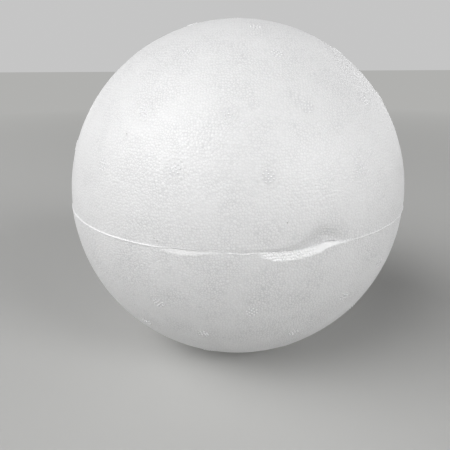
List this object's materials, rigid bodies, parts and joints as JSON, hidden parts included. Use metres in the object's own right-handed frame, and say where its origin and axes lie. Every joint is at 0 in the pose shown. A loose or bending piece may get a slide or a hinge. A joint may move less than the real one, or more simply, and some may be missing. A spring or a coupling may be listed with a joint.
{
  "type": "polystyrene craft ball",
  "caption": "Large white moulded foam ball with a raised seam round its middle, small round vent marks and a dent on the seam.",
  "frame": {"origin": "centre of the ball, in the plane of the mould seam", "axes": "+Z through the upper pole, square to the mould seam; -Y is the side that the picture faces, with the dent on the seam towards +X"},
  "size_m": [0.2514, 0.251, 0.2518],
  "materials": {
    "white_foam": "white expanded polystyrene with a satin moulded skin of fused beads"
  },
  "bodies": {
    "root": {"polystyrene_ball": "white_foam"}
  },
  "joints": []
}
